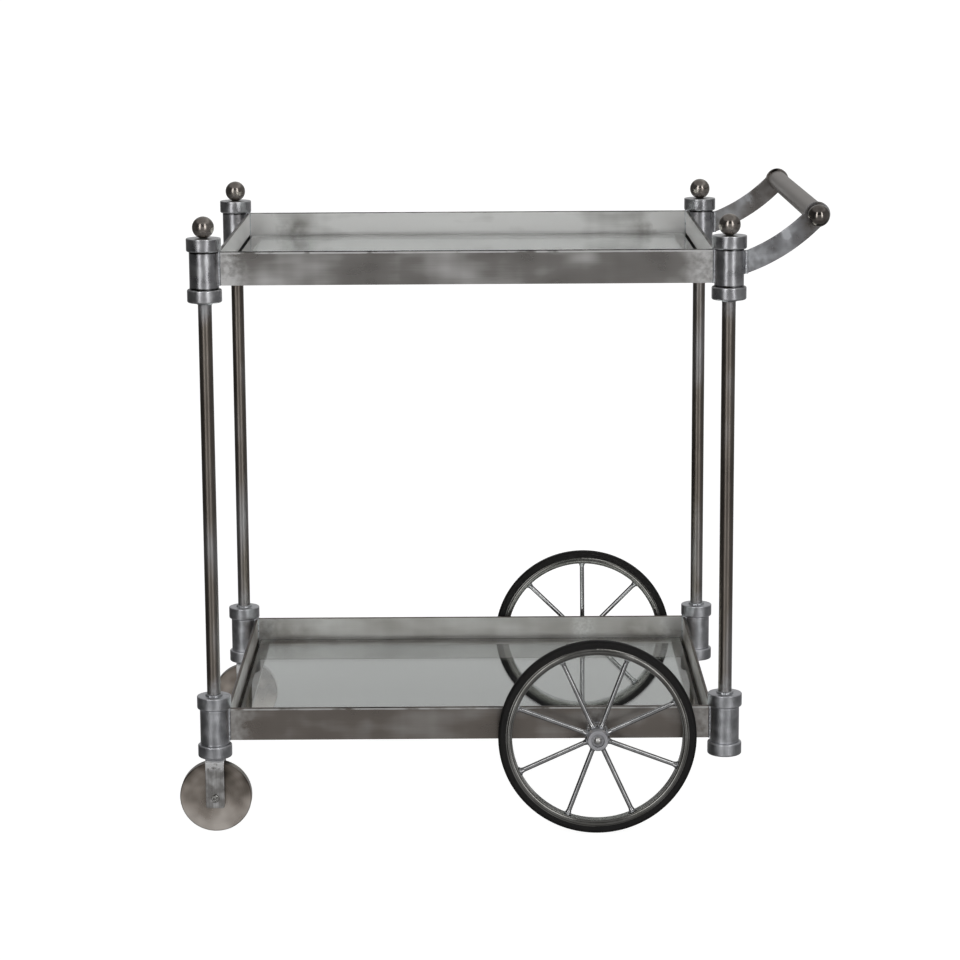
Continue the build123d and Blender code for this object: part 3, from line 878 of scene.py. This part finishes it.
@dataclass
class SpokedWheels(SubAssembly):
    """Two big wheels with welded spokes, on stub axles that are welded to the lower rails."""

    spoke_count: int = 8
    first_spoke_deg: tuple[float, float] = (24.5, 0.5)
    hub_radius_mm: float = 14.0
    rim_inner_mm: float = 113.2
    spoke_weld_mm: float = 4.3
    spoke_weld_inset_mm: float = 0.8
    spoke_weld_steps: int = 12
    spoke_bead: Bead = Bead(1.3, 3.0, ripple=0.1, unevenness=0.3)
    axle_weld_mm: float = 13.2
    axle_bead: Bead = Bead(2.2, 3.0, ripple=0.1, unevenness=0.3)
    axle_seed_step: float = 5.0
    lip_radius_mm: float = 117.7
    lip_sink_mm: float = 3.0
    lip_steps: int = 120
    lip: Bead = Bead(4.2, 16.0)
    rim_metal: Material = field(init=False)

    def dress(self) -> None:
        """Gives the wheels and their axles their finishes, and keeps the rims' one for their lips."""
        turned = {"way": Way.ROUND_AXLE, "axle": self.layout.wheel}
        # A drawn rod is pale, smooth and even, with a sharp line of light along it.
        spoke = Metal(
            "drawn_steel_spoke", "#929293", "#adadae", "#c9c9c9", Way.ALONG_X,
            cloud_mm=22.0, roughness=0.15, unevenness=0.02, grain_depth_mm=0.002,
        )
        # Rolling leaves the rim dark and smooth, with faint lines round it.
        rim = Metal(
            "rolled_steel_rim", "#66655f", "#7c7b78", "#a09f9c", **turned,
            cloud_mm=30.0, line_mm=1.2, line_share=0.3, roughness=0.2, unevenness=0.04, grain_depth_mm=0.004,
        )
        self.rim_metal = rim.material()
        # The lathe's rings make the hub pale and matt.
        hub = Metal(
            "turned_steel_hub", "#a8a8ac", "#c2c2c6", "#dcdcdf", **turned,
            cloud_mm=8.0, line_mm=0.9, line_share=0.5, roughness=0.4, unevenness=0.08,
        )
        # Tumbling leaves a plain grey without glints.
        washer = Metal(
            "tumbled_steel_washer", "#8b8b8d", "#a5a5a8", "#c2c2c5", **turned,
            cloud_mm=5.0, line_mm=0.8, line_share=0.3, roughness=0.36, unevenness=0.06,
        )
        # The polished dome is the palest metal of the wheel, with one soft highlight.
        screw = Metal(
            "polished_dome_screw", "#c4c3c1", "#d8d7d5", "#ecebe9", **turned,
            cloud_mm=5.0, line_mm=0.8, line_share=0.2, roughness=0.3, unevenness=0.03,
        )
        for material, pieces in (
            (spoke.material(), ("wheel_spokes",)),
            (self.rim_metal, ("wheel_rim",)),
            (hub.material(), ("wheel_hub", "stub_axle")),
            (washer.material(), ("axle_washer",)),
            (screw.material(), ("axle_screw",)),
            (TyreRubber(self.layout.wheel).material(), ("wheel_tyre",)),
        ):
            finish_nodes([f"{face}_{piece}" for face in Face for piece in pieces], material)

    def weld(self) -> None:
        """Lays the beads at both ends of each spoke and round each stub axle, and the rolled lips of the rims."""
        inset = self.spoke_weld_inset_mm
        for face, first in zip(Face, self.first_spoke_deg):
            hub = box_middle(f"{face}_wheel_rim")
            rings: list[Points] = []
            for step in range(self.spoke_count):
                turn = radians(first + step * 360 / self.spoke_count)
                outwards = Vector((cos(turn), 0, sin(turn)))
                for distance in (self.hub_radius_mm + inset, self.rim_inner_mm - inset):
                    spot = hub + outwards * distance * MM
                    rings.append(ring(spot, outwards, self.spoke_weld_mm * MM, self.spoke_weld_steps))
            bead = replace(self.spoke_bead, seed=first)
            self.beads.lay(f"{face}_spoke_welds", rings, bead, f"{face}_wheel", self.weld_metal, "wheel_steel")
            half_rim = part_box(f"{face}_wheel_rim")[1].y - hub.y - self.lip_sink_mm * MM
            lips = [
                ring(hub + ACROSS * out * half_rim, ACROSS, self.lip_radius_mm * MM, self.lip_steps)
                for out in (-1, 1)
            ]
            self.beads.lay(f"{face}_rim_lips", lips, self.lip, f"{face}_wheel", self.rim_metal, "wheel_steel")
            outer_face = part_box(f"lower_rail_{face}")[0 if face is Face.FRONT else 1].y
            seat = ring(Vector((hub.x, outer_face, hub.z)), ACROSS, self.axle_weld_mm * MM)
            bead = replace(self.axle_bead, seed=first + self.axle_seed_step)
            self.beads.lay(f"{face}_axle_weld", [seat], bead, "frame", self.weld_metal, "axle_steel")


@dataclass
class Casters(SubAssembly):
    """Two disc casters in strap forks."""

    bend_rise_mm: float = 50.0
    bend_mm: float = 16.0
    disc_reach_mm: float = 52.0
    crown_mm: float = 80.0
    foot_mm: float = 60.0

    def dress(self) -> None:
        """Gives the casters their finishes."""
        turned = {"way": Way.ROUND_AXLE, "axle": self.layout.caster}
        axle, rise, reach = UP * self.layout.caster.z, UP * self.bend_rise_mm * MM, UP * self.disc_reach_mm * MM
        # The bent strap is satin, with bright scratches where the bend stretched its skin.
        bend = Patch(axle, rise, (0, 0, self.bend_mm), lift=0.42, core=0.2, grain_mm=5.0, broken=0.9)
        fork = Metal(
            "bent_steel_strap", "#868380", "#9f9d9b", "#f0f0f0", Way.ALONG_Z,
            cloud_mm=16.0, line_share=0.25, roughness=0.3, unevenness=0.07, patches=(bend,),
        )
        # The turned disc is a warm satin, with painted shade under the fork's crown and painted light towards the
        # floor.
        crown = Patch(axle, reach, (0, 0, self.crown_mm), lift=-0.3, core=0.05, folded=False)
        foot = Patch(axle, -reach, (0, 0, self.foot_mm), lift=0.24, core=0.05, folded=False)
        disc = Metal(
            "turned_steel_disc", "#6c645c", "#b9afa6", "#e6ded6", **turned,
            cloud_mm=38.0, line_mm=1.4, line_share=0.05, roughness=0.3, patches=(crown, foot),
        )
        # Bright zinc plating, with painted glints: a fine speckle of strong contrast in its colour.
        bright = Metal(
            "bright_zinc", "#5a5854", "#b4b2ae", "#f4f4f2", **turned,
            cloud_mm=2.2, line_mm=0.8, line_share=0.2, roughness=0.2, unevenness=0.04, contrast=1.8,
        )
        for material, pieces in (
            (fork.material(), ("fork", "stem")),
            (disc.material(), ("disc",)),
            (bright.material(), ("spacers", "screw", "nut")),
        ):
            finish_nodes([f"{face}_caster_{piece}" for face in Face for piece in pieces], material)


@dataclass(frozen=True)
class SweepPaint:
    """Matt white paint of the floor, which runs out into plain white, while glass and metal show a greyer room.

    It glows to white where the camera sees it directly, hardly through the glass, and most where metal mirrors it
    through the glass.
    """

    name: str = "matt_white_sweep"
    paint: str = "#949494"
    seen: float = 0.94
    through_glass: float = 0.12
    for_metal: float = 1.15

    def material(self) -> Material:
        """Builds the paint.

        Returns:
            The material.
        """
        material = bpy.data.materials.new(self.name)
        add = empty_tree(material)
        ray = add("ShaderNodeLightPath").node.outputs
        steps = {"Value": ray["Glossy Depth"], "To Min": self.through_glass, "To Max": self.for_metal}
        through = {0: ray["Is Transmission Ray"], 1: add("ShaderNodeMapRange", steps)}
        behind = add("ShaderNodeMath", through, operation="MULTIPLY")
        seen = {0: ray["Is Camera Ray"], 1: self.seen, 2: behind}
        glow = add("ShaderNodeMath", seen, operation="MULTIPLY_ADD")
        shader = {"Base Color": linear(self.paint), "Roughness": 1.0, "Specular IOR Level": 0.0}
        shader |= {"Emission Color": linear(WHITE), "Emission Strength": glow}
        add("ShaderNodeOutputMaterial", {"Surface": add("ShaderNodeBsdfPrincipled", shader)})
        return material


@dataclass(frozen=True)
class Panel:
    """Soft light or pale wall of the studio, by the directions that it fills, counted from the front and the horizon.

    Its glow fades outside its edges over the soft angles: those of both upright edges, the lower and the upper one.
    """

    name: str
    strength: float
    azimuth_deg: tuple[float, float]
    elevation_deg: tuple[float, float]
    soft_deg: tuple[float, float, float]
    side: Side = Side.BOTH

    def glow(self, add: Add, azimuth: Socket, elevation: Socket) -> Socket:
        """Makes the panel's light.

        Args:
            add: Adds a node to the world.
            azimuth: Angle from the front towards the right, in radians.
            elevation: Angle from the horizon, in radians.

        Returns:
            Strength of the light in each direction.
        """
        folding = "ABSOLUTE" if self.side is Side.BOTH else "MULTIPLY"
        aside = add("ShaderNodeMath", {0: azimuth, 1: float(self.side.value)}, operation=folding)
        (near, far), (low, high) = self.azimuth_deg, self.elevation_deg
        upright, lower, upper = self.soft_deg
        edges = [(aside, far + upright, far), (elevation, low - lower, low), (elevation, high + upper, high)]
        if near > 0:
            edges.append((aside, near - upright, near))
        glow: float | Socket = self.strength
        for angle, outside, inside in edges:
            fade = {"Value": angle, "From Min": radians(outside), "From Max": radians(inside), "To Max": glow}
            glow = add("ShaderNodeMapRange", fade, interpolation_type="SMOOTHSTEP")
        return glow


@dataclass(frozen=True)
class Studio:
    """White floor and sky round a dim room with pale walls, and two tall strip lights at the camera's side."""

    floor_reach: float = 200.0
    ambient: float = 0.065
    sky_seen: float = 1.25
    panels: tuple[Panel, ...] = (
        Panel("front wall", 0.38, (0, 20), (-30, 0), (40, 30, 16)),
        Panel("ceiling", 0.4, (0, 180), (48, 90), (1, 16, 1)),
        Panel("far wall", 0.3, (0, 24), (3, 8), (8, 4, 4)),
        Panel("strip lights", 5.0, (25, 31), (14, 30), (6, 41, 18)),
        Panel("left wall", 0.04, (80, 140), (-30, 30), (25, 20, 20), Side.LEFT),
        Panel("right wall", 0.22, (50, 150), (-20, 50), (25, 20, 20), Side.RIGHT),
        Panel("back wall", 0.3, (150, 180), (-35, -2), (15, 20, 4)),
        Panel("backdrop", 0.34, (165, 180), (-3, 25), (12, 6, 15)),
        Panel("high backdrop", 0.26, (150, 180), (14, 40), (15, 8, 10)),
        Panel("front floor", 0.2, (0, 90), (-90, -40), (40, 1, 20)),
    )

    def floor(self) -> None:
        """Lays the floor, which metal doesn't mirror directly: it mirrors the room's lower panels instead."""
        reach = self.floor_reach
        corners = [(-reach, -reach, 0), (reach, -reach, 0), (reach, reach, 0), (-reach, reach, 0)]
        mesh = bpy.data.meshes.new("floor")
        mesh.from_pydata(corners, [], [(0, 1, 2, 3)])
        mesh.materials.append(SweepPaint().material())
        floor = bpy.data.objects.new("floor", mesh)
        bpy.context.scene.collection.objects.link(floor)
        floor.visible_glossy = False

    def light(self) -> None:
        """Sets the soft light all round, and a sky that the camera sees as plain white."""
        world = bpy.data.worlds.new("soft_studio")
        add = empty_tree(world)
        way = add("ShaderNodeSeparateXYZ", {0: add("ShaderNodeTexCoord", out="Generated")}).node.outputs
        ahead = add("ShaderNodeMath", {0: way["Y"], 1: -1.0}, operation="MULTIPLY")
        azimuth = add("ShaderNodeMath", {0: way["X"], 1: ahead}, operation="ARCTAN2")
        elevation = add("ShaderNodeMath", {0: way["Z"]}, operation="ARCSINE")
        total: float | Socket = self.ambient
        for panel in self.panels:
            total = add("ShaderNodeMath", {0: panel.glow(add, azimuth, elevation), 1: total}, operation="ADD")
        camera = add("ShaderNodeLightPath", out="Is Camera Ray")
        strength = add("ShaderNodeMix", {0: camera, 2: total, 3: self.sky_seen}, data_type="FLOAT")
        add("ShaderNodeOutputWorld", {"Surface": add("ShaderNodeBackground", {"Strength": strength})})
        bpy.context.scene.world = world
        bpy.context.scene.view_settings.view_transform = "Standard"


@dataclass(frozen=True)
class PhotoCamera:
    """Camera at the photograph's place."""

    place: Vector = Vector((-0.0251, -4.0151, 1.1958))
    pitch_deg: float = 10.851
    roll_deg: float = 0.33
    focal_px: float = 2915.5
    sensor_mm: float = 36.0
    sight: float = 500.0

    def set_up(self) -> None:
        """Makes the camera and gives it to the scene."""
        data = bpy.data.cameras.new("photo_camera")
        data.sensor_width = self.sensor_mm
        data.lens = self.focal_px * self.sensor_mm / IMAGE_SIDE
        data.clip_end = self.sight
        camera = bpy.data.objects.new("photo_camera", data)
        bpy.context.scene.collection.objects.link(camera)
        tilt = Matrix.Rotation(radians(90 - self.pitch_deg), 4, "X")
        roll = Matrix.Rotation(radians(-self.roll_deg), 4, "Z")
        camera.matrix_world = Matrix.Translation(self.place) @ tilt @ roll
        bpy.context.scene.camera = camera


def main() -> None:
    """Builds the looks, sub-assembly by sub-assembly."""
    logging.basicConfig(level=logging.INFO, format="%(name)s: %(message)s")
    layout, beads = Layout(), BeadTree()
    # Weld metal ground back by hand is pale and grainy, with small soft glints.
    weld_metal = Metal(
        "ground_weld_metal", "#9b9da1", "#bcbec1", "#dcdddf", Way.ALONG_Z,
        cloud_mm=5.0, roughness=0.34, unevenness=0.08,
    ).material()
    for group in (Trays, Posts, PushHandle, SpokedWheels, Casters):
        assembly = group(layout, beads, weld_metal)
        assembly.dress()
        assembly.weld()
    studio = Studio()
    studio.floor()
    studio.light()
    PhotoCamera().set_up()


if __name__ == "__main__":
    main()
